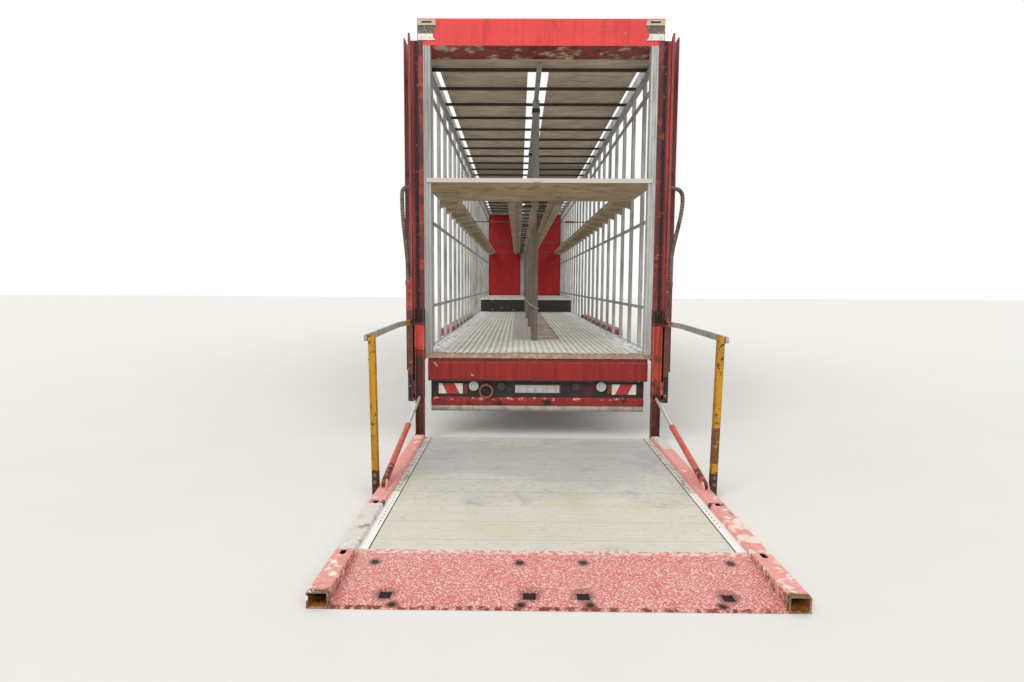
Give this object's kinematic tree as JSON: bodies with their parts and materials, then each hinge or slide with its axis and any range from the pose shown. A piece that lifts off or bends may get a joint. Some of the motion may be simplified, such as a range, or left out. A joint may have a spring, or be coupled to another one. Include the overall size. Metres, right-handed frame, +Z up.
{
  "type": "double-deck cage-sided semi-trailer with rear column lift",
  "caption": "Step-frame double-deck transporter semi-trailer with open cage sides, portal header and a lowered rear lift platform with folding handrails.",
  "frame": {"origin": "middle of the ground under the whole vehicle, lowered platform included", "axes": "+X to the right seen from behind, +Y towards the kingpin, +Z up"},
  "size_m": [2.6704, 16.48, 3.985],
  "materials": {
    "red_paint": "worn gloss paint, chipped and rusting at the edges",
    "frame_paint": "dark red oxide chassis paint, dusty",
    "black_paint": "black painted steel",
    "grey_aluminium": "weathered mill-finish extrusion",
    "floor_aluminium": "scuffed ribbed planks",
    "deck_panel": "dirty sandwich board",
    "tyre_rubber": "worn road tyre",
    "soft_rubber": "moulded rubber",
    "wheel_steel": "silver painted steel wheel",
    "galvanised": "galvanised steel",
    "axle_black": "black axle paint",
    "yellow_paint": "worn yellow paint with rust",
    "chrome_rod": "hard chromed rod",
    "lamp_lens": "clear and red lamp lenses",
    "sign_board": "red and white retroreflective board",
    "rust_steel": "rusted steel with flaking paint"
  },
  "bodies": {
    "root": {"frame_beams": "frame_paint", "cross_members": "frame_paint", "lower_floor": "floor_aluminium", "riser_plate": "black_paint", "neck_floor": "floor_aluminium", "coupling_plate": "rust_steel", "rear_sill": "red_paint", "portal_posts": "grey_aluminium", "roof_header": "red_paint", "roof_ribs": "grey_aluminium", "roof_rails": "grey_aluminium", "roof_panels": "deck_panel", "front_frame": "grey_aluminium", "front_panels": "red_paint", "side_bars": "grey_aluminium", "side_rails": "grey_aluminium", "upper_rear_plate": "deck_panel", "side_ledges": "deck_panel", "centre_ledge": "deck_panel", "centre_posts": "grey_aluminium", "tie_rods": "rust_steel", "wheel_arch_covers": "red_paint", "axles": "axle_black", "air_springs": "soft_rubber", "landing_legs": "galvanised", "underrun_guard": "red_paint", "lamp_carrier": "black_paint", "rear_boards": "sign_board", "rear_lamps": "lamp_lens", "lift_columns": "rust_steel", "side_fairings": "red_paint", "lift_hoses": "soft_rubber", "lift_pump_box": "black_paint", "air_tanks": "black_paint", "mud_flaps": "soft_rubber", "side_guards": "grey_aluminium"},
    "lift_carriage": {"lift_carriages": "red_paint"},
    "platform": {"platform_deck": "floor_aluminium", "platform_ramp": "red_paint", "platform_arms": "red_paint"},
    "handrail_post_left": {"handrail_post_left": "yellow_paint"},
    "handrail_bar_left": {"handrail_bar_left": "galvanised"},
    "cylinder_barrel_left": {"cylinder_barrel_left": "red_paint"},
    "cylinder_rod_left": {"cylinder_rod_left": "chrome_rod"},
    "wheel_left_1": {"tyres_left_1": "tyre_rubber", "rim_left_1": "wheel_steel"},
    "wheel_left_2": {"tyres_left_2": "tyre_rubber", "rim_left_2": "wheel_steel"},
    "wheel_left_3": {"tyres_left_3": "tyre_rubber", "rim_left_3": "wheel_steel"},
    "handrail_post_right": {"handrail_post_right": "yellow_paint"},
    "handrail_bar_right": {"handrail_bar_right": "galvanised"},
    "cylinder_barrel_right": {"cylinder_barrel_right": "red_paint"},
    "cylinder_rod_right": {"cylinder_rod_right": "chrome_rod"},
    "wheel_right_1": {"tyres_right_1": "tyre_rubber", "rim_right_1": "wheel_steel"},
    "wheel_right_2": {"tyres_right_2": "tyre_rubber", "rim_right_2": "wheel_steel"},
    "wheel_right_3": {"tyres_right_3": "tyre_rubber", "rim_right_3": "wheel_steel"}
  },
  "joints": [
    {"name": "lift_travel", "type": "slide", "parent": "root", "child": "lift_carriage", "axis": [0, 0, 1], "range_m": [0, 2.45]},
    {"name": "platform_fold", "type": "hinge", "parent": "lift_carriage", "child": "platform", "pos_m": [0, -5.178, 0.05], "axis": [-1, 0, 0], "range_deg": [0, 90]},
    {"name": "handrail_post_left_pivot", "type": "hinge", "parent": "platform", "child": "handrail_post_left", "pos_m": [-1.2205, -6.653, 0.03], "axis": [-1, 0, 0], "range_deg": [-90, 0]},
    {"name": "handrail_bar_left_pivot", "type": "hinge", "parent": "handrail_post_left", "child": "handrail_bar_left", "pos_m": [-1.26, -6.713, 1.15], "axis": [-1, 0, 0], "range_deg": [0, 90]},
    {"name": "cylinder_left_pivot", "type": "hinge", "parent": "platform", "child": "cylinder_barrel_left", "pos_m": [-1.1425, -6.728, 0.117], "axis": [-1, 0, 0], "range_deg": [0, 11.31]},
    {"name": "cylinder_left_rod_slide", "type": "slide", "parent": "cylinder_barrel_left", "child": "cylinder_rod_left", "axis": [0, 0.9806, 0.1959], "range_m": [-0.48944, 0]},
    {"name": "handrail_post_right_pivot", "type": "hinge", "parent": "platform", "child": "handrail_post_right", "pos_m": [1.2205, -6.653, 0.03], "axis": [-1, 0, 0], "range_deg": [-90, 0]},
    {"name": "handrail_bar_right_pivot", "type": "hinge", "parent": "handrail_post_right", "child": "handrail_bar_right", "pos_m": [1.26, -6.713, 1.15], "axis": [-1, 0, 0], "range_deg": [0, 90]},
    {"name": "cylinder_right_pivot", "type": "hinge", "parent": "platform", "child": "cylinder_barrel_right", "pos_m": [1.1425, -6.728, 0.117], "axis": [-1, 0, 0], "range_deg": [0, 11.31]},
    {"name": "cylinder_right_rod_slide", "type": "slide", "parent": "cylinder_barrel_right", "child": "cylinder_rod_right", "axis": [0, 0.9806, 0.1959], "range_m": [-0.48944, 0]},
    {"name": "wheel_left_1_spin", "type": "hinge", "parent": "root", "child": "wheel_left_1", "pos_m": [-1.039, -1.56, 0.38], "axis": [1, 0, 0], "continuous": true},
    {"name": "wheel_left_2_spin", "type": "hinge", "parent": "root", "child": "wheel_left_2", "pos_m": [-1.039, -0.25, 0.38], "axis": [1, 0, 0], "continuous": true},
    {"name": "wheel_left_3_spin", "type": "hinge", "parent": "root", "child": "wheel_left_3", "pos_m": [-1.039, 1.06, 0.38], "axis": [1, 0, 0], "continuous": true},
    {"name": "wheel_right_1_spin", "type": "hinge", "parent": "root", "child": "wheel_right_1", "pos_m": [1.039, -1.56, 0.38], "axis": [1, 0, 0], "continuous": true},
    {"name": "wheel_right_2_spin", "type": "hinge", "parent": "root", "child": "wheel_right_2", "pos_m": [1.039, -0.25, 0.38], "axis": [1, 0, 0], "continuous": true},
    {"name": "wheel_right_3_spin", "type": "hinge", "parent": "root", "child": "wheel_right_3", "pos_m": [1.039, 1.06, 0.38], "axis": [1, 0, 0], "continuous": true}
  ],
  "couplings": [
    {"joint": "handrail_post_left_pivot", "follows": "platform_fold", "ratio": -1},
    {"joint": "handrail_bar_left_pivot", "follows": "platform_fold", "ratio": 1},
    {"joint": "cylinder_left_pivot", "follows": "platform_fold", "ratio": 0.12551},
    {"joint": "cylinder_left_rod_slide", "follows": "platform_fold", "m_per_rad": -0.31127},
    {"joint": "handrail_post_right_pivot", "follows": "platform_fold", "ratio": -1},
    {"joint": "handrail_bar_right_pivot", "follows": "platform_fold", "ratio": 1},
    {"joint": "cylinder_right_pivot", "follows": "platform_fold", "ratio": 0.12551},
    {"joint": "cylinder_right_rod_slide", "follows": "platform_fold", "m_per_rad": -0.31127}
  ]
}
